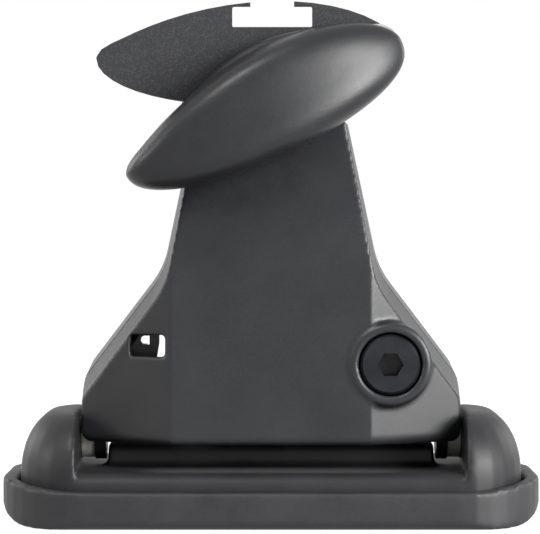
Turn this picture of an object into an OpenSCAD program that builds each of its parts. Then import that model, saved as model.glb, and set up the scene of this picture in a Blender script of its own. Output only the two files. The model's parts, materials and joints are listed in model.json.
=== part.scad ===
// Foot of an aerofoil roof bar: rubber pad, base shoe, tilting tower with a screw-driven
// clamp bar, saddle for the bar, end plate with a T-slot and a swinging end cap.
// X runs along the vehicle, Y from its outer side inwards, Z up.
// The origin is the middle of the pad's underside. Sizes in millimetres.

/* [Rubber pad] */
// Length of the pad
pad_l = 144.8; // [140:0.4:160]
// Width of the pad
pad_w = 70; // [66:1:76]
// Height of the rim above the ground
pad_rim_h = 9.8; // [8.5:0.1:12]
// Rise of the rim towards the pad's ends
pad_end_rise = 3; // [0:0.5:4]
// Thickness of the floor under the shoe
pad_floor = 4; // [3:0.1:5]
// Thickness of the rim's wall
pad_wall = 4.2; // [3:0.1:5.5]
// Corner radius of the pad seen from above
pad_corner_r = 23; // [16:1:30]
// Length over which the underside curls up at each end
pad_curl = 9; // [5:0.5:12]
// Depth of the grooves in the underside
groove_d = 0.8; // [0.4:0.1:1.5]
// Distance between grooves
groove_pitch = 9; // [6:0.5:14]

/* [Base shoe] */
// Gap between the shoe and the pad's rim
shoe_gap = 0.5; // [0.1:0.05:0.8]
// Height of the shoulders above the ground
shoulder_z = 29.5; // [28.5:0.5:34]
// Height at which the shoe's walls start to round over
shoe_round_z = 13; // [11:0.5:16]
// Gap between the tower's side and a shoulder's inner wall
side_gap = 0.6; // [0.4:0.1:1.2]
// Width of a shoulder's flat top along the pad
shoulder_top_l = 6; // [4:0.5:10]
// Width of a shoulder's flat top across the pad
shoulder_top_w = 30; // [24:1:38]
// Height of the land between the shoulders
land_z = 14.5; // [13:0.5:15.5]
// Radius of the land's long edges
land_r = 4.5; // [2:0.5:6]
// Width of the ridge along the middle of the land
ridge_w = 16; // [10:1:20]
// Gap between the ridge and the covers' lower edge
ridge_gap = 1; // [0.8:0.1:3]
// Wall of the shoe around its hollows
shoe_wall = 3; // [2:0.2:4]
// Radius of the two studs that hold the pad
stud_r = 5; // [4:0.5:6]

/* [Tower] */
// Width of the tower at its base
tower_w = 102.4; // [96:0.4:106]
// Height of the covers' lower edge
tower_low = 21.3; // [20.5:0.1:24]
// Height of the covers' upper edge
tower_top = 107.6; // [100:0.2:114]
// Depth of the front panel in front of the origin
front_y = 27; // [25:0.5:30]
// Depth of the back behind the origin
back_y = 24; // [21:0.5:27]
// Depth of the joint line between the covers, in front of the origin
parting_y = 6; // [5:0.5:8]
// Gap at the joint line
parting_gap = 0.3; // [0.1:0.1:0.6]
// Width of each facet, seen from the front
facet_w = 24.6; // [20:0.2:28]
// Angle of the facets beside the panel
facet_angle = 28; // [24:1:30]
// Height at which the front starts to sweep back
bend_z = 65; // [62:1:70]
// How far the front sweeps back up to the top
sweep = 8.6; // [7.6:0.2:9.6]
// Height at which the flanks are measured
flank_z = 60; // [57:1:63]
// How far the flanks lie in from the side at the front, behind the facets, at the joint line
// and at the back
flank_in = [19.9, 20.3, 16.7, 14.7];
// How far the waist lies in from the side at the same four depths
waist_in = [23.4, 23, 21.7, 20.1];
// How far the top lies in from the side at the same four depths
crown_in = [31.5, 30.9, 30.3, 29.2];
// Run of the flanks outwards for each millimetre down
flank_slope = 0.76; // [0.7:0.02:0.86]
// Radius where flank and neck meet
waist_r = 24; // [12:1:34]
// Wall of the covers
cover_wall = 2.5; // [2:0.1:3]

/* [Tower window and boss] */
// Distance from the tower's left side to the window's middle
window_in = 18.3; // [17:0.1:20]
// Height of the window's middle
window_z = 47.8; // [46:0.2:50]
// Width of the window
window_w = 9.5; // [6:0.1:11]
// Height of the window
window_h = 5.8; // [4.6:0.2:7]
// Outer radius of the screw boss
boss_r = 11.2; // [10.2:0.1:11.5]
// How far the boss stands proud of the panel
boss_proud = 1; // [0.2:0.1:1.5]
// Height of the opening in the back
rear_open_h = 32; // [24:1:34]
// Width of the lip around the opening in the back
rear_lip = 7; // [5:0.5:9]

/* [Bracket] */
// Thickness of the bracket's steel
sheet = 3; // [2.5:0.1:3.5]
// Gap between the bracket and the covers
bracket_gap = 0.5; // [0.3:0.1:1]
// Width of the bracket's strap
strap_w = 28; // [24:1:30]
// Depth of the bracket's web in front of the origin
web_y = 12; // [10:0.5:13]
// Depth of the bracket's top face below the covers' upper edge
bracket_drop = 2; // [1:0.5:5]

/* [Tilt pivot] */
// Gap between the bracket's ears and the land
ear_gap = 1; // [0.6:0.1:1.6]
// Diameter of the tilt pins
tilt_pin_d = 8; // [6:0.5:9]
// Radial clearance of a turning pin
running_gap = 0.05; // [0.02:0.01:0.08]
// Depth of the pins in the shoulders
tilt_pin_in = 9; // [6:0.5:11]
// Radius of the bracket's ears
ear_r = 7; // [6:0.25:7.5]

/* [Clamp screw] */
// Distance from the tower's right side to the screw
screw_in = 19.6; // [18.6:0.1:20.4]
// Height of the screw
screw_z = 43; // [42:0.2:45]
// Diameter of the screw's thread
screw_d = 8; // [6:0.5:9]
// Diameter of the screw's head
head_d = 16; // [14:0.5:17]
// Height of the screw's head
head_h = 6.5; // [5:0.5:7]
// Width across the flats of the hexagon socket
key_af = 6; // [4:0.5:7]
// Depth of the hexagon socket
key_depth = 4; // [2:0.5:4.5]
// Gap around the screw's head
head_gap = 0.45; // [0.2:0.05:0.7]
// Length of the screw behind the head
screw_len = 42; // [40:1:44]
// Thickness of the clamp bar
bar_t = 9; // [7:0.5:10]
// Gap between the web and the clamp bar
bar_gap = 6; // [5:0.5:7]
// Radius of the clamp bar's screw end
bar_end_r = 9; // [8.5:0.25:9.25]
// Diameter of the bolt holes in the clamp bar
clamp_hole_d = 6.6; // [5:0.1:8]
// Height of the guide pin
guide_z = 37; // [36.5:0.5:38]
// Diameter of the guide pin
guide_d = 6; // [5:0.5:7]

/* [Bar section] */
// Length of the aerofoil section
lens_l = 80.8; // [76:0.2:84]
// Place of the section's middle along the vehicle
lens_x = -5.7; // [-8:0.1:-3]
// Height of the section's tail above the tower
lens_rise = 16.8; // [16.5:0.1:20]
// Rise from the tail to the nose
lens_lift = 1.9; // [0:0.1:3]
// Height of the section above its chord
lens_up = 14; // [13:0.1:15]
// Depth of the section below its chord
lens_down = 13.7; // [12:0.1:14.2]
// Blunt end of the tail
lens_tail_r = 3.2; // [2.6:0.2:4]
// Thickness of the saddle's lining
liner_t = 1.5; // [1:0.1:2]

/* [T-slot] */
// Middle of the slot along the vehicle
slot_x = 0.3; // [-3:0.1:3]
// Width of the slot's mouth
mouth_w = 11.7; // [10:0.1:13]
// Width of the slot's cavity
cavity_w = 21.4; // [19:0.2:23]
// Height of the cavity's floor above the section's tail
cavity_up = 8.2; // [7.2:0.1:8.6]
// Height of the cavity
cavity_h = 5.8; // [4.6:0.1:6]

/* [End plate and swing cap] */
// Thickness of the end plate
plate_t = 6; // [5:0.5:7]
// Depth of the plate's front face in front of the origin
plate_y = 23.9; // [23.5:0.1:24.4]
// Gap between the plate and the cap
cap_gap = 0.3; // [0.3:0.05:0.6]
// Depth of the cap at its deepest point
cap_d = 20; // [18:0.5:24]
// Distance from the section's tail to the cap's deepest point
cap_peak = 29; // [24:1:34]
// Radius of the cap's face along its length
cap_face_r = 90; // [85:1:130]
// How much further the cap reaches than the section, at its tail
cap_over = 0.2; // [0:0.1:2]
// Wall of the cap
cap_wall = 2.2; // [1.8:0.1:2.6]
// Height of the cap's lip over the mouth of the slot
cap_lip = 2.4; // [1:0.1:3]
// Angle by which the cap hangs open
cap_open = 25.2; // [0:0.2:27]
// Distance from the section's nose to the cap's pivot
pivot_in = 6.5; // [6:0.1:8]
// Height of the cap's pivot above the section's tail
pivot_up = 3; // [2:0.1:3.6]
// Diameter of the pivot screw's shank
pivot_d = 5; // [4:0.5:6]

/* [Small fasteners] */
// Diameter of the covers' screws
cover_screw_d = 4; // [3:0.5:4.5]
// Diameter of the bar bolts
bar_bolt_d = 6; // [5:0.5:6.5]
// Distance between the bar bolts
bar_bolt_pitch = 15; // [14:0.5:16]
// Clearance around the bar bolts
bolt_gap = 0.3; // [0.2:0.1:0.5]

/* [Hidden] */
$fn = 48;
// Points in a rounded corner of the tower's outline
corner_n = 6;
// Points along each side of the aerofoil outline
lens_n = 22;
// Powers of the aerofoil's thickness law, upper side and lower side
up_law = [0.77, 0.57];
down_law = [0.47, 0.4];
// Overshoot of cutting shapes
over = 1;
// How far the land's rounding starts outside the shoe's wall
crossing = 0.1;
// Flat washer and face-to-face seats of turning pieces
seat_gap = 0.1;
half_w = tower_w / 2;
recess_x = half_w + side_gap;
recess_w = 2 * recess_x;
fold_x = half_w - facet_w;
flank_x = [for (d = flank_in) half_w - d];
waist_x = [for (d = waist_in) half_w - d];
crown_x = [for (d = crown_in) half_w - d];
window_x = half_w - window_in;
screw_x = half_w - screw_in;
// Depths at which the flanks, the waist and the top are measured
station_y = [-front_y - over, -front_y + 13, -parting_y, back_y];
back_round = 2.5;
// Radii of the tower's outline: lower corner and shoulder
low_corner_r = 3;
hip_r = 7;
// Bracket
web_back = -web_y + sheet;
ear_x = half_w - cover_wall - bracket_gap;
notch_r = ear_r + 0.6;
tilt_z = land_z + ear_r + ear_gap;
bracket_top = tower_top - bracket_drop;
// Screw seat on the web, from the head backwards
head_front = -front_y - boss_proud + 0.4;
head_back = head_front + head_h;
washer_t = 1.6;
washer_r = head_d / 2 - 0.1;
bush_r = 6.5;
clip_t = 1;
clip_r = screw_d / 2 + 2.2;
clip_groove = 0.6;
// Clamp bar and its nut
bar_front = web_back + bar_gap;
bar_back = bar_front + bar_t;
nut_af = 13;
nut_t = 5;
guide_end_r = 5;
guide_x = -window_x;
guide_back = -web_y + strap_w + 2;
// Travel of the clamp bar forwards, and the room left around it
bar_ahead = 3.8;
bar_room = 0.8;
// Covers' screw posts: left, right and neck
post_r = 3.5;
rear_post_r = cover_screw_d / 2 + 3.1;
post_x = ear_x - sheet - rear_post_r - 1.2;
post_z = tower_low + 6;
bolt_low = bracket_top - sheet - 10;
neck_post_z = bolt_low - rear_post_r - 0.7;
post_split_y = 8;
// Tapping screws: head, length in front of the joint, and socket
cover_head_r = cover_screw_d / 2 + 1.4;
cover_head_h = 2.5;
cover_bite = 12;
post_seat = 4;
rib_t = 1.6;
// Aerofoil section
lens_tail_x = lens_x - lens_l / 2;
lens_nose_x = lens_x + lens_l / 2;
lens_tail_z = tower_top + lens_rise;
cavity_z = lens_tail_z + cavity_up;
pivot_x = lens_nose_x - pivot_in;
pivot_z = lens_tail_z + pivot_up;
// Plate and saddle
plate_back = -plate_y + plate_t;
upright_t = 3;
saddle_back = back_y - cover_wall - 0.5;
saddle_base_x = crown_x[0] - cover_wall - 0.9;
saddle_foot_z = tower_top + 0.3;
saddle_x = 24;
saddle_side = [[saddle_base_x, bracket_top], [saddle_base_x, saddle_foot_z],
    [crown_x[3] - 3.3, saddle_foot_z], [crown_x[3] - 3.8, saddle_foot_z + 5.5],
    [saddle_x, saddle_foot_z + 8.5], [saddle_x, lens_tail_z]];
bolt_mid_y = 2.5;
bar_floor_t = 3;
slide_t = 3;
slide_w = 14;
plate_screw_x = [-9, 15];
plate_screw_z = lens_tail_z - 7.2;
plate_screw_d = 3.5;
plate_bore = 3;
plate_bite = 11;
plug_l = 20;
plug_h = 9;
plug_wall = 2;
plug_reach = 9;
plug_x = lens_tail_x + plug_l / 2 + 14;
plug_z = lens_tail_z + 1.5;
// Cap pivot
bush_wall = 1.5;
bush_out_r = pivot_d / 2 + running_gap + bush_wall;
friction_r = bush_out_r + 2;
friction_t = 1.2;
cap_back = -plate_y - cap_gap;
cap_boss_r = pivot_d / 2 + 2.6;
pivot_deep = 4.8;
tail_r = 3.8;
nose_r = 6.9;
// Flatness of the cap's face across, and roundness of its shoulder
cap_law = [5, 0.42];
// Steps of the cap's rim, from the shoulder to the back: share of the cap's depth, and of the lip
cap_rim = [[0.42, 0.12], [0.4, 0.45], [0.36, 0.8], [0.3, 1], [0, 1]];

// Functions

function unit(v) = v / norm(v);

// Arc of radius r that rounds corner b of the path a-b-c
function corner_arc(a, b, c, r, n) =
    let (
        u = unit(a - b),
        v = unit(c - b),
        half = acos(u * v) / 2,
        mid = b + unit(u + v) * r / sin(half),
        p = b + u * r / tan(half),
        q = b + v * r / tan(half),
        from = atan2(p[1] - mid[1], p[0] - mid[0]),
        to = atan2(q[1] - mid[1], q[0] - mid[0]),
        turn = (to - from + 540) % 360 - 180
    )
    [for (i = [0 : n]) mid + r * [cos(from + turn * i / n), sin(from + turn * i / n)]];

function mirrored(pts) = [for (i = [len(pts) - 1 : -1 : 0]) [-pts[i][0], pts[i][1]]];

// Right half of the tower's outline, from below, moved inwards by inset
function tower_half(flank, waist, crown, inset, low, top) =
    let (
        w = half_w - inset,
        neck_slope = (waist - crown) / (tower_top - bend_z),
        f = flank - inset * norm([1, flank_slope]),
        n = waist - inset * norm([1, neck_slope]),
        hip = [w, flank_z - (w - f) / flank_slope],
        bend = (f - n + flank_slope * flank_z - neck_slope * bend_z) / (flank_slope - neck_slope),
        pit = [n - neck_slope * (bend - bend_z), bend],
        tip = [n - neck_slope * (top - bend_z), top]
    )
    concat(
        corner_arc([0, low], [w, low], hip, low_corner_r, corner_n),
        corner_arc([w, low], hip, pit, hip_r, corner_n),
        corner_arc(hip, pit, tip, waist_r, corner_n),
        [tip]);

// Half width at a depth y, from the four that are measured
function width_at(y, widths) = lookup(y, [for (k = [0 : 3]) [station_y[k], widths[k]]]);

// Whole outline of the tower at a depth y
function outline_at(y, inset, low, top) =
    let (half = tower_half(width_at(y, flank_x), width_at(y, waist_x), width_at(y, crown_x),
        inset, low, top))
    concat(half, mirrored(half));

function at_y(pts, y) = [for (p = pts) [p[0], y, p[1]]];

// Seen from above: flat panel with a facet on each side, moved inwards by inset
function plan_points(inset) =
    let (
        fold = fold_x - inset * tan(facet_angle / 2),
        side = half_w + 2 * over,
        run = (side - fold) * tan(facet_angle),
        y = -front_y + inset
    )
    [[side, y + run], [side, back_y - inset], [-side, back_y - inset], [-side, y + run],
        [-fold, y], [fold, y]];

// Seen from the side: upright front that leans back softly above the bend
function sweep_points(inset) =
    let (steps = 12)
    concat(
        [[back_y + 2 * over, tower_low - 9], [-front_y + inset, tower_low - 9]],
        [for (i = [0 : steps]) [
            -front_y + inset + sweep * (1 - cos(180 * i / steps)) / 2,
            bend_z + (tower_top + 2 * over - bend_z) * i / steps
        ]],
        [[back_y + 2 * over, tower_top + 2 * over]]);

// Share of the full height of the aerofoil at u, 0 at the tail and 1 at the nose
function law(u, p) =
    pow(u, p[0]) * pow(1 - u, p[1])
    / (pow(p[0] / (p[0] + p[1]), p[0]) * pow(p[1] / (p[0] + p[1]), p[1]));

// Smooth hump in the middle of the upper side
function hump(u) = abs(u - 0.53) < 0.3 ? pow(cos(90 * (u - 0.53) / 0.3), 2) : 0;

function chord(u) = [lens_tail_x + lens_l * u, lens_tail_z + lens_lift * u];

// Point of the aerofoil outline at t, 0 to 1 over the top and 1 to 2 back below
function lens_point(t, lip) =
    let (u = (1 - cos(180 * t)) / 2)
    chord(u) + [0, t <= 1 ? lens_up * law(u, up_law) + lip * hump(u) : -lens_down * law(u, down_law)];

// Nearest point of the aerofoil's backbone, which ends short of tail and nose
function backbone(p) =
    let (u = (p[0] - lens_tail_x) / lens_l)
    chord(min(max(u, tail_r / lens_l), 1 - nose_r / lens_l));

// Outline from nose over the top to the tail and back, moved inwards by inset
function lens_outline(inset, lip = 0) =
    [for (i = [0 : 2 * lens_n - 1])
        let (
            t = 1 - i / lens_n,
            p = lens_point(t < 0 ? 2 + t : t, lip),
            v = p - backbone(p)
        )
        p - unit(v) * inset];

// Distance d from the backbone, kept from falling below r at the tail
function blunted(d, r) = pow(pow(d, 4) + pow(r, 4), 0.25);

// Outline of the end plate, with a blunt tail
function plate_outline() =
    [for (p = lens_outline(0))
        let (b = backbone(p))
        b + unit(p - b) * blunted(norm(p - b), lens_tail_r)];

// Ring of the cap: the outline, with a blunt tail, drawn in towards the backbone by a share
function cap_ring(share, inset, lip) =
    [for (p = lens_outline(inset, lip))
        let (
            b = backbone(p),
            m = (b + chord(0.5)) / 2,
            far = blunted(norm(p - b), lens_tail_r - inset),
            q = b + (m - b) * (1 - share) + unit(p - b) * far * share
        )
        [lens_nose_x + (q[0] - lens_nose_x) * (1 + cap_over / lens_l), q[1]]];

// Level ring with rounded corners at a height z, anticlockwise from above
function rounded_ring(l, w, r, z) =
    [for (q = [0 : 3], i = [0 : corner_n])
        let (a = 90 * q + 90 * i / corner_n, sx = q == 0 || q == 3 ? 1 : -1, sy = q < 2 ? 1 : -1)
        [sx * (l / 2 - r) + r * cos(a), sy * (w / 2 - r) + r * sin(a), z]];

// Shapes used by several pieces

// Closed skin through rings of as many points, from the front to the back. Curved ends are
// closed by strips across the ring, flat ones by one face.
module loft(rings, curved_ends = false) {
    n = len(rings[0]);
    last = len(rings) - 1;
    strips = [for (i = [0 : n / 2 - 1])
        i == 0 ? [n - 1, 1, 0] : i == n / 2 - 1 ? [i + 2, i + 1, i] : [n - i, n - i - 1, i + 1, i]];
    ends = curved_ends ? strips : [[for (i = [n - 1 : -1 : 0]) i]];
    polyhedron(
        points = [for (r = rings) each r],
        faces = concat(
            ends,
            [for (k = [0 : last - 1], i = [0 : n - 1])
                each [
                    [k * n + i, k * n + (i + 1) % n, (k + 1) * n + (i + 1) % n],
                    [k * n + i, (k + 1) * n + (i + 1) % n, (k + 1) * n + i]
                ]],
            [for (f = ends) [for (i = [len(f) - 1 : -1 : 0]) last * n + f[i]]]),
        convexity = 6);
}

// Cylinder along Y from y0 to y1
module rod_y(r, x, z, y0, y1, fn = 48) {
    translate([x, y0, z]) rotate([-90, 0, 0]) cylinder(r = r, h = y1 - y0, $fn = fn);
}

// Cylinder along X from x0 to x1
module rod_x(r, y, z, x0, x1) {
    translate([x0, y, z]) rotate([0, 90, 0]) cylinder(r = r, h = x1 - x0);
}

// Flat shape drawn in X and Z, made solid from y0 to y1
module slab_y(y0, y1) {
    translate([0, y1, 0]) rotate([90, 0, 0]) linear_extrude(y1 - y0, convexity = 6) children();
}

// Flat shape drawn in Y and Z, made solid from x0 to x1
module slab_x(x0, x1) {
    translate([x0, 0, 0]) rotate([90, 0, 90]) linear_extrude(x1 - x0, convexity = 6) children();
}

// Hexagonal prism along Y with flats above and below
module hex_y(af, x, z, y0, y1) {
    rod_y(af / 2 / cos(30), x, z, y0, y1, fn = 6);
}

module round_rect(l, w, r) {
    hull() for (x = [-1, 1], y = [-1, 1])
        translate([x * (l / 2 - r), y * (w / 2 - r)]) circle(r, $fn = 32);
}

module both_ends() {
    children();
    mirror([1, 0, 0]) children();
}

// Solid body of the tower, its surface moved inwards by inset
module tower_mass(inset, low, top) {
    intersection() {
        loft(concat(
            [for (y = [station_y[0], station_y[1], station_y[2], back_y - 4])
                at_y(outline_at(y, inset, low, top), y)],
            [at_y(outline_at(back_y, inset + back_round / 2, low, top), back_y)]));
        tower_plan(inset, low, top);
        slab_x(-half_w - over, half_w + over) polygon(sweep_points(inset));
    }
}

// Upright prism of the panel, facets and back, its lower edge rounded
module tower_plan(inset, low, top) {
    steps = 3;
    edge_r = 2.2;
    hull() {
        for (i = [0 : steps])
            translate([0, 0, low + edge_r * (1 - cos(90 * i / steps))])
                linear_extrude(0.01) polygon(plan_points(inset + edge_r * (1 - sin(90 * i / steps))));
        translate([0, 0, top + over]) linear_extrude(0.01) polygon(plan_points(inset));
    }
}

// Wall of the tower, open above and below
module tower_shell() {
    difference() {
        tower_mass(0, tower_low, tower_top);
        tower_mass(cover_wall, tower_low - 8, tower_top + 1.5);
        // Room for the tilt pins' spacers in the side walls
        both_ends() {
            rod_x(notch_r, 0, tilt_z, ear_x - over, half_w + over);
            translate([ear_x - over, -notch_r, tower_low - over])
                cube([half_w - ear_x + 2 * over, 2 * notch_r, tilt_z - tower_low + over]);
        }
    }
}

// Half space in front of y, or behind it
module before(y) {
    translate([-half_w - 5, -front_y - 10, 0]) cube([tower_w + 10, front_y + 10 + y, tower_top + 10]);
}
module behind(y) {
    translate([-half_w - 5, y, 0]) cube([tower_w + 10, back_y + 10 - y, tower_top + 10]);
}

// Places of the covers' screws
module at_posts() {
    for (p = [[-post_x, post_z], [post_x, post_z], [0, neck_post_z]])
        translate([p[0], 0, p[1]]) children();
}

// Pad and shoe

// Right half of the pad seen from the front: underside curled up, rim rising to the end
function pad_side() =
    let (steps = 8, end_x = pad_l / 2, rise_x = end_x - pad_corner_r)
    concat(
        [for (i = [0 : steps]) [
            end_x - pad_curl * (1 - sin(90 * i / steps)),
            (pad_rim_h - 3) * (1 - cos(90 * i / steps))
        ]],
        [for (i = [steps : -1 : 0]) [
            rise_x + (end_x + over - rise_x) * i / steps,
            pad_rim_h + pad_end_rise * (1 - cos(90 * i / steps))
        ]]);

// Pad's outer form: round ends, underside curled up at the ends
module pad_body() {
    half = pad_side();
    full_h = pad_rim_h + pad_end_rise + over;
    intersection() {
        linear_extrude(full_h) round_rect(pad_l, pad_w, pad_corner_r);
        slab_y(-pad_w / 2 - over, pad_w / 2 + over) polygon(concat(half, mirrored(half)));
        slab_x(-pad_l / 2 - over, pad_l / 2 + over)
            polygon([
                [-pad_w / 2 + 1.5, 0], [pad_w / 2 - 1.5, 0], [pad_w / 2, 1.5],
                [pad_w / 2, full_h], [-pad_w / 2, full_h], [-pad_w / 2, 1.5]
            ]);
    }
}

// Cross ribs of the shoe, and studs of the pad between them
rib_gap = (recess_w - shoe_wall) / 6;
stud_x = 1.5 * rib_gap;
stud_h = 3.5;

module rubber_pad() {
    grooves = floor((pad_l / 2 - pad_corner_r / 2) / groove_pitch);
    color([0.24, 0.24, 0.25]) {
        difference() {
            pad_body();
            translate([0, 0, pad_floor]) linear_extrude(pad_rim_h + pad_end_rise)
                round_rect(pad_l - 2 * pad_wall, pad_w - 2 * pad_wall, pad_corner_r - pad_wall);
            for (i = [-grooves : grooves - 1])
                translate([(i + 0.5) * groove_pitch, 0, 0])
                    cube([2, pad_w - 2 * pad_wall, 2 * groove_d], center = true);
        }
        for (x = [-stud_x, stud_x])
            translate([x, 0, pad_floor - 0.5]) cylinder(r = stud_r, h = stud_h + 0.5);
    }
}

shoe_l = pad_l - 2 * pad_wall - 2 * shoe_gap;
shoe_w = pad_w - 2 * pad_wall - 2 * shoe_gap;
shoe_corner_r = pad_corner_r - pad_wall - shoe_gap;

// Rounded mass of the shoe before the land is cut between the shoulders, from the top down
module shoe_mass() {
    steps = 10;
    top_l = recess_w + 2 * shoulder_top_l;
    top_r = 10;
    loft(concat(
        [for (i = [steps : -1 : 0])
            let (a = 90 * i / steps)
            rounded_ring(
                top_l + (shoe_l - top_l) * cos(a),
                shoulder_top_w + (shoe_w - shoulder_top_w) * cos(a),
                top_r + (shoe_corner_r - top_r) * cos(a),
                shoe_round_z + (shoulder_z - shoe_round_z) * sin(a))],
        [rounded_ring(shoe_l, shoe_w, shoe_corner_r, pad_floor)]));
}

// Shoe with its land between the shoulders, the land's long edges rounded
module shoe_body() {
    difference() {
        shoe_mass();
        slab_x(-recess_x, recess_x) difference() {
            translate([-pad_w, land_z - land_r]) square([2 * pad_w, shoulder_z]);
            hull() for (y = [-1, 1])
                translate([y * (shoe_w / 2 + crossing - land_r), land_z - land_r]) circle(land_r);
        }
    }
}

// Ridge along the land, between the bracket's ears
module land_ridge() {
    reach = ear_x - sheet - bar_room;
    slab_x(-reach, reach) hull() {
        for (y = [-1, 1])
            translate([y * (ridge_w / 2 - 2), tower_low - ridge_gap - 2]) circle(2);
        translate([-ridge_w / 2, land_z - 2 * over]) square([ridge_w, over]);
    }
}

module base_shoe() {
    color([0.26, 0.26, 0.27]) difference() {
        union() {
            shoe_body();
            land_ridge();
        }
        // Bevel at the top of the shoulders' inner walls
        both_ends() translate([recess_x, 0, shoulder_z]) rotate([0, 45, 0])
            cube([1.8, pad_w, 1.8], center = true);
        // Hollows under the land, with cross ribs between them
        for (i = [-3 : 2], s = [-1, 1])
            translate([(i + 0.5) * rib_gap, s * (shoe_w / 4 - shoe_wall / 4), pad_floor - over])
                linear_extrude(land_z - shoe_wall - pad_floor + over)
                    round_rect(rib_gap - shoe_wall / 2, shoe_w / 2 - 1.5 * shoe_wall, 2);
        // Studs of the pad
        for (x = [-stud_x, stud_x])
            translate([x, 0, pad_floor - over]) cylinder(r = stud_r + shoe_gap, h = stud_h + over + 0.3);
        // Tilt pins
        both_ends() rod_x(tilt_pin_d / 2, 0, tilt_z, recess_x - over, recess_x + tilt_pin_in);
    }
}

module tilt_pins() {
    color([0.75, 0.76, 0.78]) both_ends()
        rod_x(tilt_pin_d / 2, 0, tilt_z, ear_x - sheet, recess_x + tilt_pin_in);
}

module tilt_spacers() {
    color([0.8, 0.81, 0.83]) both_ends() difference() {
        rod_x(ear_r - 0.5, 0, tilt_z, ear_x, recess_x - seat_gap);
        rod_x(tilt_pin_d / 2 + running_gap, 0, tilt_z, ear_x - over, recess_x + over);
    }
}

// Tower

bracket_in = cover_wall + bracket_gap;

module bracket_outline(inset, low, top) {
    polygon(outline_at(-web_y, bracket_in + inset, low, top));
}

module tower_bracket() {
    strap_back = -web_y + strap_w;
    web_low = post_z + post_r + 1;
    color([0.13, 0.13, 0.14]) difference() {
        union() {
            // Strap folded over the top, legs down to the ears
            intersection() {
                slab_y(-web_y, strap_back) difference() {
                    bracket_outline(0, tower_low - 12, bracket_top);
                    bracket_outline(sheet, tower_low - 13, bracket_top - sheet);
                }
                translate([-half_w, -web_y, web_low]) cube([tower_w, strap_w, tower_top]);
            }
            // Ears on the tilt pins
            both_ends() slab_x(ear_x - sheet, ear_x) {
                hull() {
                    translate([0, tilt_z]) circle(ear_r);
                    translate([-web_y, web_low]) square([strap_w, 1]);
                }
            }
            // Web that carries the clamp screw
            slab_y(-web_y, web_back) intersection() {
                bracket_outline(0, tower_low - 12, bracket_top);
                translate([-half_w, web_low]) square([tower_w, neck_post_z - post_r - 3 - web_low]);
            }
        }
        // Mouth for a vehicle's clamp plate
        slab_y(-web_y - over, web_back + over) hull() for (x = [-1, 1], z = [web_low + 6, bend_z])
            translate([x * (fold_x - 13), z]) circle(4);
        // Sight hole behind the window: a tab with a round-cornered notch stays at its left
        slab_y(-web_y - over, web_back + over) {
            polygon([
                [-window_x + 1.6, window_z - 6], [-window_x + 8, window_z - 6],
                [-window_x + 8, window_z + 6], [-window_x + 2.6, window_z + 6],
                [-window_x + 2.6, window_z]
            ]);
            hull() {
                translate([-window_x - 1.2, window_z + 0.9]) circle(1.2);
                translate([-window_x - 0.9, window_z - 0.4]) square([0.9, 2.5]);
            }
        }
        rod_y(bush_r - 1.5, screw_x, screw_z, -web_y - over, web_back + over);
        rod_y(guide_d / 2, guide_x, guide_z, -web_y - over, web_back + over);
        // Clear sight through the left leg behind the notch
        translate([-window_x - 6, web_back, window_z - 1.5]) cube([8, strap_w, 5]);
        // Room in the right leg for the screw's clip and the clamp bar's end
        rod_y(clip_r + bar_room, screw_x, screw_z, web_back, strap_back + over);
        translate([screw_x - bar_end_r, bar_front - bar_ahead - bar_room, screw_z - bar_end_r - bar_room])
            cube([half_w, 2 * strap_w, 2 * (bar_end_r + bar_room)]);
        both_ends() rod_x(tilt_pin_d / 2 + running_gap, 0, tilt_z, ear_x - sheet - over, ear_x + over);
        for (s = [-1, 1]) translate([0, bolt_mid_y + s * bar_bolt_pitch / 2, bracket_top - sheet - over])
            cylinder(d = bar_bolt_d + 2 * bolt_gap, h = sheet + 2 * over);
    }
}

module front_cover() {
    boss_front = -front_y - boss_proud;
    color([0.27, 0.27, 0.28]) difference() {
        union() {
            intersection() {
                tower_shell();
                before(-parting_y);
            }
            // Round boss around the screw's head
            rod_y(boss_r, screw_x, screw_z, boss_front + 1, -web_y - 6);
            translate([screw_x, boss_front + 1, screw_z]) rotate([90, 0, 0])
                cylinder(r1 = boss_r, r2 = boss_r - 1, h = 1);
            // Posts for the covers' screws
            intersection() {
                at_posts() rod_y(post_r, 0, 0, -front_y + 1, post_split_y);
                tower_mass(1, tower_low, tower_top);
            }
            // Ribs behind the panel
            intersection() {
                for (s = [-1, 1]) translate([s * (fold_x - 7) - rib_t / 2, -front_y, post_z])
                    cube([rib_t, front_y - web_y - 1, bend_z - post_z]);
                tower_mass(1, tower_low, tower_top);
            }
        }
        rod_y(head_d / 2 + head_gap, screw_x, screw_z, boss_front - over, -web_y - 2);
        translate([-window_x - window_w / 2, -front_y - over, window_z - window_h / 2])
            cube([window_w, front_y - web_y, window_h]);
        at_posts() rod_y(cover_screw_d / 2 - 0.1, 0, 0, -web_y - 4, post_split_y + over);
    }
}

module rear_cover() {
    open_low = tower_low + 9;
    color([0.3, 0.3, 0.31]) difference() {
        union() {
            intersection() {
                tower_shell();
                behind(-parting_y + parting_gap);
            }
            at_posts() rod_y(rear_post_r, 0, 0, post_split_y + seat_gap, back_y - 1);
            // Feet that stand a little below the front cover's corners
            both_ends() intersection() {
                tower_mass(0, tower_low - 0.9, tower_top);
                translate([half_w - cover_wall, notch_r, tower_low - over]) cube([cover_wall, 6, 6]);
            }
        }
        // Opening in the back that gives the clamp room
        slab_y(back_y - cover_wall - over, back_y + over) intersection() {
            polygon(outline_at(back_y, rear_lip, open_low - low_corner_r, tower_top));
            translate([-half_w, open_low]) square([tower_w, rear_open_h]);
        }
        at_posts() {
            rod_y(cover_screw_d / 2 + 0.2, 0, 0, post_split_y - over, back_y + over);
            rod_y(cover_head_r + 0.2, 0, 0, post_split_y + post_seat, back_y + over);
        }
    }
}

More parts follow.
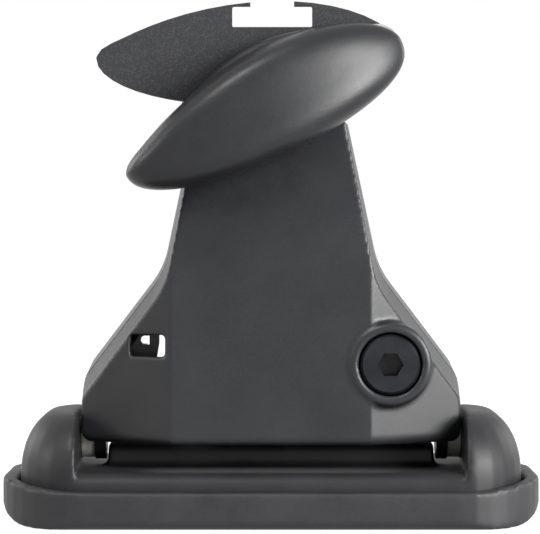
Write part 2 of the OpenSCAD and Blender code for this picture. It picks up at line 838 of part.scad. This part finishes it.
module cover_screws() {
    color([0.7, 0.71, 0.73]) at_posts() difference() {
        union() {
            rod_y(cover_head_r, 0, 0, post_split_y + post_seat, post_split_y + post_seat + cover_head_h);
            rod_y(cover_screw_d / 2 - 0.1, 0, 0, post_split_y - cover_bite, post_split_y + post_seat + 1);
        }
        hex_y(cover_screw_d * 0.6, 0, 0, post_split_y + post_seat + 1,
            post_split_y + post_seat + cover_head_h + over);
    }
}

// Clamp screw and clamp bar

module clamp_bush() {
    color([0.72, 0.73, 0.75]) difference() {
        union() {
            rod_y(bush_r, screw_x, screw_z, head_back + washer_t, -web_y);
            rod_y(bush_r - 1.5, screw_x, screw_z, -web_y - over, web_back);
        }
        rod_y(screw_d / 2 + running_gap, screw_x, screw_z, head_back, web_back + over);
    }
}

module clamp_washer() {
    color([0.75, 0.76, 0.78]) difference() {
        rod_y(washer_r, screw_x, screw_z, head_back + seat_gap, head_back + washer_t);
        rod_y(screw_d / 2 + 0.4, screw_x, screw_z, head_back, head_back + washer_t + over);
    }
}

clip_y = web_back + seat_gap;

module clamp_screw() {
    screw_end = head_back + screw_len;
    color([0.14, 0.15, 0.17]) difference() {
        union() {
            rod_y(head_d / 2, screw_x, screw_z, head_front + 0.7, head_back);
            translate([screw_x, head_front + 0.7, screw_z]) rotate([90, 0, 0])
                cylinder(r1 = head_d / 2, r2 = head_d / 2 - 0.7, h = 0.7);
            rod_y(screw_d / 2, screw_x, screw_z, head_back - over, screw_end - 1);
            translate([screw_x, screw_end, screw_z]) rotate([90, 0, 0])
                cylinder(r1 = screw_d / 2 - 1, r2 = screw_d / 2, h = 1);
        }
        hex_y(key_af, screw_x, screw_z, head_front - over, head_front + key_depth);
        difference() {
            rod_y(screw_d / 2 + over, screw_x, screw_z, clip_y, clip_y + clip_t + 0.2);
            rod_y(screw_d / 2 - clip_groove, screw_x, screw_z, clip_y - over, clip_y + clip_t + over);
        }
    }
}

module screw_clip() {
    color([0.6, 0.6, 0.62]) translate([screw_x, clip_y, screw_z]) rotate([-90, 0, 0])
        difference() {
            cylinder(r = clip_r, h = clip_t);
            translate([0, 0, -over]) cylinder(r = screw_d / 2 - clip_groove, h = clip_t + 2 * over);
            translate([-1.5, 0, -over]) cube([3, clip_r + over, clip_t + 2 * over]);
        }
}

module clamp_bar() {
    color([0.15, 0.15, 0.16]) difference() {
        slab_y(bar_front, bar_back) difference() {
            hull() {
                translate([screw_x, screw_z]) circle(bar_end_r);
                translate([guide_x, guide_z]) circle(guide_end_r);
            }
            // Holes for the bolts of a vehicle's clamp plate
            for (x = [-8, 8]) translate([x, (screw_z + guide_z) / 2]) circle(clamp_hole_d / 2);
        }
        hex_y(nut_af + 0.1, screw_x, screw_z, bar_back - nut_t, bar_back + over);
        rod_y(screw_d / 2 + 0.5, screw_x, screw_z, bar_front - over, bar_back);
        rod_y(guide_d / 2 + running_gap, guide_x, guide_z, bar_front - over, bar_back + over);
    }
}

module clamp_nut() {
    color([0.7, 0.71, 0.73]) difference() {
        hex_y(nut_af, screw_x, screw_z, bar_back - nut_t, bar_back + 0.5);
        rod_y(screw_d / 2 + running_gap, screw_x, screw_z, bar_back - nut_t - over, bar_back + over);
    }
}

module guide_pin() {
    color([0.72, 0.73, 0.75]) union() {
        rod_y(guide_d / 2, guide_x, guide_z, -web_y - 1, guide_back);
        rod_y(guide_d / 2 + 1.5, guide_x, guide_z, -web_y - 2.5, -web_y);
    }
}

// Saddle and bar fixing

module saddle() {
    color([0.2, 0.2, 0.21]) difference() {
        union() {
            slab_y(plate_back + upright_t, saddle_back) polygon(concat(saddle_side, mirrored(saddle_side)));
            // Upright that the end plate is screwed to
            slab_y(plate_back, plate_back + upright_t + over) hull() {
                for (x = plate_screw_x) translate([x, plate_screw_z]) circle(4);
                translate([-crown_x[0], saddle_foot_z]) square([2 * crown_x[0], 2]);
            }
        }
        // Seat of the bar and its lining
        slab_y(plate_back + upright_t, saddle_back + over)
            polygon(lens_outline(-liner_t));
        for (s = [-1, 1]) translate([0, bolt_mid_y + s * bar_bolt_pitch / 2, bracket_top - over])
            cylinder(d = bar_bolt_d + 2 * bolt_gap, h = 30);
        for (x = plate_screw_x)
            rod_y(plate_screw_d / 2 - 0.1, x, plate_screw_z, plate_back - over, plate_back + plate_bite + 1);
    }
}

module saddle_liner() {
    color([0.1, 0.1, 0.11]) slab_y(plate_back + upright_t, saddle_back) intersection() {
        difference() {
            polygon(lens_outline(-liner_t));
            polygon(lens_outline(0));
            translate([-bar_bolt_d, 0]) square([2 * bar_bolt_d, lens_tail_z]);
        }
        translate([-saddle_x, saddle_foot_z]) square([2 * saddle_x, lens_tail_z - saddle_foot_z]);
    }
}

slide_z = lens_tail_z + lens_lift * 0.57 - lens_down + bar_floor_t;

module slide_plate() {
    long = bar_bolt_pitch + slide_w;
    color([0.72, 0.73, 0.75]) difference() {
        translate([-slide_w / 2, bolt_mid_y - long / 2, slide_z]) cube([slide_w, long, slide_t]);
        for (s = [-1, 1]) translate([0, bolt_mid_y + s * bar_bolt_pitch / 2, slide_z - over])
            cylinder(d = bar_bolt_d + 0.2, h = slide_t + 2 * over);
    }
}

module bar_bolts() {
    color([0.7, 0.71, 0.73]) for (s = [-1, 1])
        translate([0, bolt_mid_y + s * bar_bolt_pitch / 2, 0]) {
            translate([0, 0, bolt_low])
                cylinder(d = bar_bolt_d, h = slide_z + slide_t + 0.5 - bolt_low);
            translate([0, 0, slide_z + slide_t])
                cylinder(r = bar_bolt_d / 2 + 2.4, h = 3.5, $fn = 6);
        }
}

bar_washer_t = 1.2;

module bar_washers() {
    color([0.75, 0.76, 0.78]) for (s = [-1, 1])
        translate([0, bolt_mid_y + s * bar_bolt_pitch / 2, bracket_top - sheet - bar_washer_t])
            difference() {
                cylinder(d = 2 * bar_bolt_d, h = bar_washer_t);
                translate([0, 0, -over]) cylinder(d = bar_bolt_d + 0.4, h = bar_washer_t + 2 * over);
            }
}

module bar_nuts() {
    nut_h = 0.8 * bar_bolt_d;
    color([0.7, 0.71, 0.73]) for (s = [-1, 1])
        translate([0, bolt_mid_y + s * bar_bolt_pitch / 2, bracket_top - sheet - bar_washer_t - nut_h])
            difference() {
                cylinder(r = 0.93 * bar_bolt_d, h = nut_h, $fn = 6);
                translate([0, 0, -over]) cylinder(d = bar_bolt_d + 0.04, h = nut_h + 2 * over);
            }
}

// End plate and swing cap

module end_plate() {
    color([0.22, 0.22, 0.23]) difference() {
        union() {
            slab_y(-plate_y, plate_back) polygon(plate_outline());
            // Plug that enters the bar's tail chamber
            slab_y(plate_back - over, plate_back + plug_reach) translate([plug_x, plug_z])
                round_rect(plug_l, plug_h, 2);
        }
        slab_y(plate_back, plate_back + plug_reach + over) translate([plug_x, plug_z])
            round_rect(plug_l - 2 * plug_wall, plug_h - 2 * plug_wall, 1);
        // T-slot, open at the top
        slab_y(-plate_y - over, plate_back + over) {
            translate([slot_x - mouth_w / 2, cavity_z + cavity_h / 2]) square([mouth_w, lens_up]);
            hull() for (x = [-1, 1], z = [0.5, cavity_h - 0.5])
                translate([slot_x + x * (cavity_w / 2 - 0.5), cavity_z + z]) circle(0.5, $fn = 16);
        }
        rod_y(bush_out_r, pivot_x, pivot_z, -plate_y - over, plate_back + over);
        rod_y(friction_r + 0.1, pivot_x, pivot_z, -plate_y - over, -plate_y + friction_t - 0.2);
        for (x = plate_screw_x) {
            rod_y(plate_screw_d / 2 + 0.2, x, plate_screw_z, -plate_y - over, plate_back + over);
            rod_y(plate_screw_d / 2 + 1.7, x, plate_screw_z, -plate_y - over, -plate_y + plate_bore);
        }
    }
}

module plate_screws() {
    color([0.15, 0.15, 0.16]) for (x = plate_screw_x) difference() {
        union() {
            rod_y(plate_screw_d / 2 + 1.5, x, plate_screw_z, -plate_y + 0.6, -plate_y + plate_bore);
            rod_y(plate_screw_d / 2 - 0.1, x, plate_screw_z, -plate_y + 2, plate_back + plate_bite);
        }
        hex_y(2.5, x, plate_screw_z, -plate_y, -plate_y + 2);
    }
}

module pivot_bush() {
    color([0.85, 0.84, 0.8]) difference() {
        rod_y(bush_out_r, pivot_x, pivot_z, -plate_y + friction_t - 0.2, plate_back);
        rod_y(pivot_d / 2 + running_gap, pivot_x, pivot_z, -plate_y, plate_back + over);
    }
}

module friction_washer() {
    color([0.75, 0.76, 0.78]) difference() {
        rod_y(friction_r, pivot_x, pivot_z, -plate_y - 0.2, -plate_y + friction_t - 0.2);
        rod_y(pivot_d / 2 + 0.1, pivot_x, pivot_z, -plate_y - over, -plate_y + friction_t);
    }
}

module pivot_screw() {
    color([0.7, 0.71, 0.73]) difference() {
        union() {
            rod_y(pivot_d / 2, pivot_x, pivot_z, cap_back - pivot_deep + 0.3, plate_back + over);
            rod_y(bush_out_r + 0.8, pivot_x, pivot_z, plate_back + seat_gap, plate_back + 2.8);
        }
        hex_y(3, pivot_x, pivot_z, plate_back + 1.2, plate_back + 3);
    }
}

// Turns what is drawn shut to where the cap hangs
module hanging() {
    translate([pivot_x, 0, pivot_z]) rotate([0, -cap_open, 0]) translate([-pivot_x, 0, -pivot_z])
        children();
}

// Depth of the cap's face at x, domed along its length
function cap_depth(x) = cap_d - pow(x - lens_tail_x - cap_peak, 2) / (2 * cap_face_r);

// Rings of the cap's skin in its shut place, moved inwards by inset and cut off at x_end, from
// the face to the back
function cap_rings(inset, x_end) =
    concat(
        [for (s = [0.12, 0.35, 0.55, 0.7, 0.8, 0.88, 0.94, 0.98])
            let (full = pow(1 - pow(s, cap_law[0]), cap_law[1]), rim = cap_rim[0][0])
            [for (p = cap_ring(s, inset, 0))
                let (x = min(p[0], x_end))
                [x, cap_back - cap_depth(x) * (rim + (1 - rim) * full) + inset * full, p[1]]]],
        [for (k = cap_rim)
            [for (p = cap_ring(1, inset, cap_lip * k[1]))
                let (x = min(p[0], x_end))
                [x, cap_back - cap_depth(x) * k[0], p[1]]]]);

function reversed(v) = [for (i = [len(v) - 1 : -1 : 0]) v[i]];

// The hollow ends before the nose, which stays solid around the pivot
module swing_cap() {
    outer = cap_rings(0, lens_nose_x + over);
    inner = cap_rings(cap_wall, pivot_x - cap_boss_r);
    color([0.3, 0.3, 0.31]) hanging() difference() {
        loft(concat(outer, reversed(inner)), curved_ends = true);
        rod_y(pivot_d / 2, pivot_x, pivot_z, cap_back - pivot_deep, cap_back + over);
    }
}

rubber_pad();
base_shoe();
tilt_pins();
tilt_spacers();
tower_bracket();
front_cover();
rear_cover();
cover_screws();
clamp_bush();
clamp_washer();
clamp_screw();
screw_clip();
clamp_bar();
clamp_nut();
guide_pin();
saddle();
saddle_liner();
slide_plate();
bar_bolts();
bar_washers();
bar_nuts();
end_plate();
plate_screws();
pivot_bush();
friction_washer();
pivot_screw();
swing_cap();
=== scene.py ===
# Roof bar foot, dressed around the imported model. Lengths are in metres.
import json
import math
import bpy
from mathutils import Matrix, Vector


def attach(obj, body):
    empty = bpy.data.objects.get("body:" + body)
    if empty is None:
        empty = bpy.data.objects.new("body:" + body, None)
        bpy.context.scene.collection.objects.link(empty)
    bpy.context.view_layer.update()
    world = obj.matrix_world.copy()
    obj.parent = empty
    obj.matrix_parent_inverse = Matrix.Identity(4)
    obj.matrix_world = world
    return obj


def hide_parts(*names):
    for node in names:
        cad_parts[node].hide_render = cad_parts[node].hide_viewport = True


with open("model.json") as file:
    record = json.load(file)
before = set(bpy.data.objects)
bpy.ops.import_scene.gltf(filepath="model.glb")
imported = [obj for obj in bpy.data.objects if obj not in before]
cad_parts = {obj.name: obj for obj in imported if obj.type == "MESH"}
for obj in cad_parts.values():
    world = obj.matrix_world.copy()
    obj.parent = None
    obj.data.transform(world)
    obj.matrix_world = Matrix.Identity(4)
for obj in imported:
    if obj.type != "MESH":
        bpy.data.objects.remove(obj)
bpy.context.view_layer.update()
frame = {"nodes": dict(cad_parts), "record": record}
nodes = frame["nodes"]
scene = bpy.context.scene
scene.view_settings.view_transform = "Standard"
mm = 0.001


# Camera: level, straight on, as far away as the pad's rim and the cover's lower edge show

view = {
    "distance": 0.7,  # from the middle of the foot
    "height": 0.085,
    "lens": 169.5,  # in millimetres, as the sensor's width
    "sensor": 36,
    "shiftRight": -0.002,
    "shiftUp": -0.113,
    "farthest": 20,
}


def makeCamera():
    camera = bpy.data.cameras.new("camera")
    camera.lens = view["lens"]
    camera.sensor_width = view["sensor"]
    camera.shift_x = view["shiftRight"]
    camera.shift_y = view["shiftUp"]
    camera.clip_end = view["farthest"]
    holder = bpy.data.objects.new("camera", camera)
    holder.location = (0, -view["distance"], view["height"])
    holder.rotation_euler = (math.radians(90), 0, 0)
    scene.collection.objects.link(holder)
    scene.camera = holder


makeCamera()
print("camera placed")


# Small helpers for operators

def deselectAll():
    if bpy.context.object and bpy.context.object.mode != "OBJECT":
        bpy.ops.object.mode_set(mode="OBJECT")
    bpy.ops.object.select_all(action="DESELECT")


def pick(piece):
    deselectAll()
    piece.select_set(True)
    bpy.context.view_layer.objects.active = piece


def applyModifier(piece, kind, **settings):
    pick(piece)
    modifier = piece.modifiers.new(kind, kind)
    for name, value in settings.items():
        setattr(modifier, name, value)
    bpy.ops.object.modifier_apply(modifier=modifier.name)


def applyPlace(piece):
    pick(piece)
    bpy.ops.object.transform_apply(location=True, rotation=True, scale=True)


def paint(piece, material):
    piece.data.materials.clear()
    piece.data.materials.append(material)


# Shader groups that several finishes share

noiseSpread = (0.35, 0.65)  # the part of a noise's range that is stretched over the whole


def newGroup(name, inputs, outputs):
    group = bpy.data.node_groups.new(name, "ShaderNodeTree")
    for label, kind, value in inputs:
        socket = group.interface.new_socket(name=label, in_out="INPUT", socket_type=kind)
        if value is not None:
            socket.default_value = value
    for label, kind in outputs:
        group.interface.new_socket(name=label, in_out="OUTPUT", socket_type=kind)
    source = group.nodes.new("NodeGroupInput")
    sink = group.nodes.new("NodeGroupOutput")
    return group, source, sink


def addNoise(tree, vector, scale, detail=2.0):
    noise = tree.nodes.new("ShaderNodeTexNoise")
    noise.inputs["Detail"].default_value = detail
    tree.links.new(vector, noise.inputs["Vector"])
    if isinstance(scale, (int, float)):
        noise.inputs["Scale"].default_value = scale
    else:
        tree.links.new(scale, noise.inputs["Scale"])
    return noise.outputs["Fac"]


def addRange(tree, value, low, high, outLow=0.0, outHigh=1.0):
    remap = tree.nodes.new("ShaderNodeMapRange")
    for label, number in (("From Min", low), ("From Max", high)):
        remap.inputs[label].default_value = number
    for label, number in (("To Min", outLow), ("To Max", outHigh)):
        if isinstance(number, (int, float)):
            remap.inputs[label].default_value = number
        else:
            tree.links.new(number, remap.inputs[label])
    tree.links.new(value, remap.inputs["Value"])
    return remap.outputs["Result"]


def addMath(tree, operation, first, second):
    node = tree.nodes.new("ShaderNodeMath")
    node.operation = operation
    for socket, value in zip(node.inputs, (first, second)):
        if isinstance(value, (int, float)):
            socket.default_value = value
        else:
            tree.links.new(value, socket)
    return node.outputs["Value"]


def addBlend(tree, first, firstShare, second, secondShare):
    return addMath(tree, "ADD", addMath(tree, "MULTIPLY", first, firstShare),
                   addMath(tree, "MULTIPLY", second, secondShare))


def addMix(tree, factor, first, second):
    mix = tree.nodes.new("ShaderNodeMix")
    mix.data_type = "RGBA"
    tree.links.new(factor, mix.inputs["Factor"])
    for label, value in (("A", first), ("B", second)):
        socket = [s for s in mix.inputs if s.name == label and s.type == "RGBA"][0]
        if isinstance(value, tuple):
            socket.default_value = value
        else:
            tree.links.new(value, socket)
    return [s for s in mix.outputs if s.type == "RGBA"][0]


def makeGrainGroup():
    # fine moulded grain: slow mottling of the colour, quick unevenness of gloss and height
    group, source, sink = newGroup("mouldedGrain", [
        ("Vector", "NodeSocketVector", None),
        ("Dark", "NodeSocketColor", (0.05, 0.05, 0.05, 1)),
        ("Light", "NodeSocketColor", (0.06, 0.06, 0.06, 1)),
        ("Grain Scale", "NodeSocketFloat", 2500.0),
        ("Mottle Scale", "NodeSocketFloat", 60.0),
        ("Rough Low", "NodeSocketFloat", 0.4),
        ("Rough High", "NodeSocketFloat", 0.5)],
        [("Color", "NodeSocketColor"), ("Roughness", "NodeSocketFloat"), ("Height", "NodeSocketFloat")])
    vector = source.outputs["Vector"]
    grain = addNoise(group, vector, source.outputs["Grain Scale"], 2.0)
    mottle = addNoise(group, vector, source.outputs["Mottle Scale"], 3.0)
    both = addBlend(group, grain, 0.4, mottle, 0.6)
    color = addMix(group, addRange(group, both, *noiseSpread),
                   source.outputs["Dark"], source.outputs["Light"])
    roughness = addRange(group, both, *noiseSpread,
                         source.outputs["Rough Low"], source.outputs["Rough High"])
    group.links.new(color, sink.inputs["Color"])
    group.links.new(roughness, sink.inputs["Roughness"])
    group.links.new(grain, sink.inputs["Height"])
    return group


def makePebbleGroup():
    # coarse pebbled texture of a spark-eroded mould: rounded cells, with a painted highlight that makes
    # their tops paler
    driftShare = 0.35  # the slow noise that varies the cells, as a share of their scale
    highest, lowest = 0.1, 0.75  # distances from a cell's middle where its top and its foot are
    group, source, sink = newGroup("pebbledMould", [
        ("Vector", "NodeSocketVector", None),
        ("Dark", "NodeSocketColor", (0.02, 0.02, 0.02, 1)),
        ("Light", "NodeSocketColor", (0.09, 0.09, 0.09, 1)),
        ("Pebble Scale", "NodeSocketFloat", 1400.0)],
        [("Color", "NodeSocketColor"), ("Roughness", "NodeSocketFloat"), ("Height", "NodeSocketFloat")])
    vector = source.outputs["Vector"]
    cells = group.nodes.new("ShaderNodeTexVoronoi")
    cells.feature = "SMOOTH_F1"
    cells.inputs["Smoothness"].default_value = 0.6
    group.links.new(vector, cells.inputs["Vector"])
    group.links.new(source.outputs["Pebble Scale"], cells.inputs["Scale"])
    driftScale = addMath(group, "MULTIPLY", source.outputs["Pebble Scale"], driftShare)
    drift = addNoise(group, vector, driftScale, 3.0)
    tops = addRange(group, cells.outputs["Distance"], lowest, highest)
    height = addMath(group, "MULTIPLY", tops, addRange(group, drift, 0.3, 0.7, 0.35, 1.0))
    # painted highlight: the colour follows each cell's height and is paler towards its top
    color = addMix(group, addRange(group, height, 0.25, 0.85),
                   source.outputs["Dark"], source.outputs["Light"])
    group.links.new(color, sink.inputs["Color"])
    group.links.new(addRange(group, height, 0.0, 1.0, 0.75, 0.5), sink.inputs["Roughness"])
    group.links.new(height, sink.inputs["Height"])
    return group


def makePlatingGroup():
    # zinc plating or coating: cloudy tint and gloss, with fine drawing lines along one axis
    cloudScale = 180.0
    group, source, sink = newGroup("platedSteel", [
        ("Vector", "NodeSocketVector", None),
        ("Dark", "NodeSocketColor", (0.45, 0.45, 0.44, 1)),
        ("Light", "NodeSocketColor", (0.62, 0.62, 0.6, 1)),
        ("Line Scale", "NodeSocketVector", (300.0, 6000.0, 300.0)),
        ("Rough Low", "NodeSocketFloat", 0.25),
        ("Rough High", "NodeSocketFloat", 0.42)],
        [("Color", "NodeSocketColor"), ("Roughness", "NodeSocketFloat"), ("Height", "NodeSocketFloat")])
    vector = source.outputs["Vector"]
    stretched = group.nodes.new("ShaderNodeVectorMath")
    stretched.operation = "MULTIPLY"
    group.links.new(vector, stretched.inputs[0])
    group.links.new(source.outputs["Line Scale"], stretched.inputs[1])
    lines = addNoise(group, stretched.outputs["Vector"], 1.0, 2.0)
    clouds = addNoise(group, vector, cloudScale, 3.0)
    color = addMix(group, addRange(group, clouds, *noiseSpread),
                   source.outputs["Dark"], source.outputs["Light"])
    both = addBlend(group, lines, 0.5, clouds, 0.5)
    roughness = addRange(group, both, *noiseSpread,
                         source.outputs["Rough Low"], source.outputs["Rough High"])
    group.links.new(color, sink.inputs["Color"])
    group.links.new(roughness, sink.inputs["Roughness"])
    group.links.new(lines, sink.inputs["Height"])
    return group


grainGroup = makeGrainGroup()
pebbleGroup = makePebbleGroup()
platingGroup = makePlatingGroup()

finishes = {
    "rubber": {
        "group": grainGroup,
        "values": {
            "Dark": (0.0115, 0.0115, 0.0127, 1), "Light": (0.018, 0.018, 0.0195, 1),
            "Grain Scale": 1500.0, "Mottle Scale": 90.0, "Rough Low": 0.46, "Rough High": 0.56},
        "bump": 0.24, "bumpDepth": 0.05 * mm, "metal": 0.0, "specular": 0.3},
    "shoe_plastic": {
        "group": grainGroup,
        "values": {
            "Dark": (0.0075, 0.0075, 0.0084, 1), "Light": (0.0118, 0.0118, 0.013, 1),
            "Grain Scale": 2200.0, "Mottle Scale": 70.0, "Rough Low": 0.44, "Rough High": 0.52},
        "bump": 0.1, "bumpDepth": 0.04 * mm, "metal": 0.0, "specular": 0.25},
    "cover_plastic": {
        "group": grainGroup,
        "values": {
            "Dark": (0.0085, 0.0088, 0.0098, 1), "Light": (0.0133, 0.0137, 0.015, 1),
            "Grain Scale": 1900.0, "Mottle Scale": 60.0, "Rough Low": 0.36, "Rough High": 0.44},
        "bump": 0.34, "bumpDepth": 0.04 * mm, "metal": 0.0, "specular": 0.32},
    "cap_plastic": {
        "group": grainGroup,
        "values": {
            "Dark": (0.0085, 0.0088, 0.0098, 1), "Light": (0.0133, 0.0137, 0.015, 1),
            "Grain Scale": 1900.0, "Mottle Scale": 60.0, "Rough Low": 0.36, "Rough High": 0.44},
        "bump": 0.34, "bumpDepth": 0.04 * mm, "metal": 0.0, "specular": 0.27},
    "grained_plastic": {
        "group": pebbleGroup,
        "values": {
            "Dark": (0.021, 0.0213, 0.023, 1), "Light": (0.045, 0.046, 0.049, 1),
            "Pebble Scale": 2600.0},
        "bump": 0.35, "bumpDepth": 0.12 * mm, "metal": 0.0, "specular": 0.2},
    "saddle_plastic": {
        "group": grainGroup,
        "values": {
            "Dark": (0.02, 0.02, 0.021, 1), "Light": (0.028, 0.028, 0.03, 1),
            "Grain Scale": 2000.0, "Mottle Scale": 80.0, "Rough Low": 0.5, "Rough High": 0.6},
        "bump": 0.12, "bumpDepth": 0.04 * mm, "metal": 0.0, "specular": 0.25},
    "coated_steel": {
        "group": grainGroup,
        "values": {
            "Dark": (0.008, 0.008, 0.009, 1), "Light": (0.014, 0.014, 0.015, 1),
            "Grain Scale": 1800.0, "Mottle Scale": 120.0, "Rough Low": 0.35, "Rough High": 0.5},
        "bump": 0.08, "bumpDepth": 0.04 * mm, "metal": 0.0, "specular": 0.5},
    "black_screw": {
        "group": platingGroup,
        "values": {
            "Dark": (0.0045, 0.005, 0.006, 1), "Light": (0.0085, 0.009, 0.0115, 1),
            "Line Scale": (500.0, 500.0, 500.0), "Rough Low": 0.3, "Rough High": 0.4},
        "bump": 0.06, "bumpDepth": 0.03 * mm, "metal": 0.0, "specular": 0.22},
    "zinc_steel": {
        "group": platingGroup,
        "values": {
            "Dark": (0.42, 0.42, 0.41, 1), "Light": (0.6, 0.6, 0.58, 1),
            "Line Scale": (300.0, 4000.0, 300.0), "Rough Low": 0.25, "Rough High": 0.4},
        "bump": 0.06, "bumpDepth": 0.03 * mm, "metal": 1.0, "specular": 0.5},
    "bearing_plastic": {
        "group": grainGroup,
        "values": {
            "Dark": (0.58, 0.56, 0.5, 1), "Light": (0.66, 0.64, 0.58, 1),
            "Grain Scale": 1800.0, "Mottle Scale": 100.0, "Rough Low": 0.38, "Rough High": 0.5},
        "bump": 0.06, "bumpDepth": 0.03 * mm, "metal": 0.0, "specular": 0.5},
}


def makeFinish(name, finish):
    material = bpy.data.materials.new(name)
    material.use_nodes = True
    tree = material.node_tree
    tree.nodes.clear()
    output = tree.nodes.new("ShaderNodeOutputMaterial")
    shader = tree.nodes.new("ShaderNodeBsdfPrincipled")
    shader.inputs["Metallic"].default_value = finish["metal"]
    shader.inputs["Specular IOR Level"].default_value = finish["specular"]
    place = tree.nodes.new("ShaderNodeTexCoord")
    effect = tree.nodes.new("ShaderNodeGroup")
    effect.node_tree = finish["group"]
    for label, value in finish["values"].items():
        effect.inputs[label].default_value = value
    bump = tree.nodes.new("ShaderNodeBump")
    bump.inputs["Strength"].default_value = finish["bump"]
    bump.inputs["Distance"].default_value = finish["bumpDepth"]
    tree.links.new(place.outputs["Object"], effect.inputs["Vector"])
    tree.links.new(effect.outputs["Color"], shader.inputs["Base Color"])
    tree.links.new(effect.outputs["Roughness"], shader.inputs["Roughness"])
    tree.links.new(effect.outputs["Height"], bump.inputs["Height"])
    tree.links.new(bump.outputs["Normal"], shader.inputs["Normal"])
    tree.links.new(shader.outputs["BSDF"], output.inputs["Surface"])
    return material


materials = {name: makeFinish(name, finish) for name, finish in finishes.items()}
slotOf = {part["node"]: part["material_slot"] for part in frame["record"]["subparts"]}
for name, node in nodes.items():
    for place in node.material_slots:
        place.material = materials[slotOf[name]]
print("finishes made:", len(materials))


# Moulded pieces: the solid's own form, with the soft edges that a mould leaves

weldGap = 0.002 * mm
mouldings = {
    # rounding: subdivisions before the even grid is laid, smoothing: rounds of it afterwards
    "swing_cap": {
        "piece": "swingCapMoulding", "body": "cap",
        "rounding": 2, "grid": 0.35 * mm, "smoothing": 2},
    "front_cover": {
        "piece": "frontCoverMoulding", "body": "tower",
        "grid": 0.54 * mm, "smoothing": 5},
    "rear_cover": {
        "piece": "rearCoverMoulding", "body": "tower",
        "grid": 0.54 * mm, "smoothing": 5},
    "base_shoe": {
        "piece": "baseShoeMoulding", "body": "base",
        "grid": 0.8 * mm, "smoothing": 6},
    "rubber_pad": {
        "piece": "rubberPadMoulding", "body": "base",
        "grid": 0.75 * mm, "smoothing": 6},
}


def mouldFromNode(nodeName, moulding):
    pick(nodes[nodeName])
    bpy.ops.object.duplicate()
    piece = bpy.context.object
    piece.name = moulding["piece"]
    piece.data.name = moulding["piece"]
    bpy.ops.object.mode_set(mode="EDIT")
    bpy.ops.mesh.select_all(action="SELECT")
    bpy.ops.mesh.remove_doubles(threshold=weldGap)
    bpy.ops.object.mode_set(mode="OBJECT")
    if "rounding" in moulding:
        applyModifier(piece, "SUBSURF", levels=moulding["rounding"])
    applyModifier(piece, "REMESH", mode="VOXEL", voxel_size=moulding["grid"], use_smooth_shade=True)
    applyModifier(piece, "SMOOTH", factor=0.5, iterations=moulding["smoothing"])
    paint(piece, materials[slotOf[nodeName]])
    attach(piece, moulding["body"])
    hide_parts(nodeName)
    print("moulded", piece.name, len(piece.data.polygons), "faces")


for nodeName, moulding in mouldings.items():
    mouldFromNode(nodeName, moulding)


# Floor and light

studio = {
    "floorSize": 6.0,
    "floorDrop": 0.2 * mm,  # below the pad
    "floorGrey": 0.25,
    "floorGlow": 0.93,
    "floorRough": 0.8,
    "floorSpecular": 0.1,
    "worldGrey": 0.08,
    "lamps": [
        # name, place, aimed at, width, height, watts
        ("rightBox", (0.9, -0.66, 0.34), (0, 0, 0.06), 0.5, 0.6, 35.0),
        ("leftBox", (-1.1, -0.22, 0.45), (0, 0, 0.06), 0.3, 0.5, 6.0),
        ("upperLeft", (-0.42, -0.58, 1.05), (0, 0, 0.1), 0.3, 0.3, 9.0),
        ("rightRim", (0.86, 0.6, 0.4), (0, 0, 0.08), 0.3, 0.5, 3.0),
        ("leftRim", (-0.86, 0.6, 0.4), (0, 0, 0.08), 0.3, 0.5, 3.0),
    ],
}


def whiteToCamera(tree, plain, shown):
    # what the camera, a mirror or glass sees is white, and everything else gets the plain grey
    path = tree.nodes.new("ShaderNodeLightPath")
    seen = addMath(tree, "MAXIMUM", path.outputs["Is Camera Ray"], path.outputs["Is Transmission Ray"])
    seen = addMath(tree, "MAXIMUM", seen, path.outputs["Is Glossy Ray"])
    return addMix(tree, seen, (plain, plain, plain, 1), (shown, shown, shown, 1))


def makeFloor():
    deselectAll()
    bpy.ops.mesh.primitive_plane_add(size=studio["floorSize"], location=(0, 0, -studio["floorDrop"]))
    floor = bpy.context.object
    floor.name = "floor"
    applyPlace(floor)
    material = bpy.data.materials.new("paleFloor")
    material.use_nodes = True
    tree = material.node_tree
    shader = tree.nodes["Principled BSDF"]
    shader.inputs["Roughness"].default_value = studio["floorRough"]
    shader.inputs["Specular IOR Level"].default_value = studio["floorSpecular"]
    grey = studio["floorGrey"]
    shader.inputs["Base Color"].default_value = (grey, grey, grey, 1)
    tree.links.new(whiteToCamera(tree, 0.0, 1.0), shader.inputs["Emission Color"])
    shader.inputs["Emission Strength"].default_value = studio["floorGlow"]
    paint(floor, material)


def makeWorld():
    world = bpy.data.worlds.new("studio")
    world.use_nodes = True
    scene.world = world
    tree = world.node_tree
    background = tree.nodes["Background"]
    tree.links.new(whiteToCamera(tree, studio["worldGrey"], 1.0), background.inputs["Color"])


def makeLamps():
    for name, place, target, width, height, watts in studio["lamps"]:
        lamp = bpy.data.lights.new(name, "AREA")
        lamp.shape = "RECTANGLE"
        lamp.size = width
        lamp.size_y = height
        lamp.energy = watts
        holder = bpy.data.objects.new(name, lamp)
        holder.location = place
        direction = Vector(target) - Vector(place)
        holder.rotation_euler = direction.to_track_quat("-Z", "Y").to_euler()
        scene.collection.objects.link(holder)


makeFloor()
makeWorld()
makeLamps()
print("studio ready")
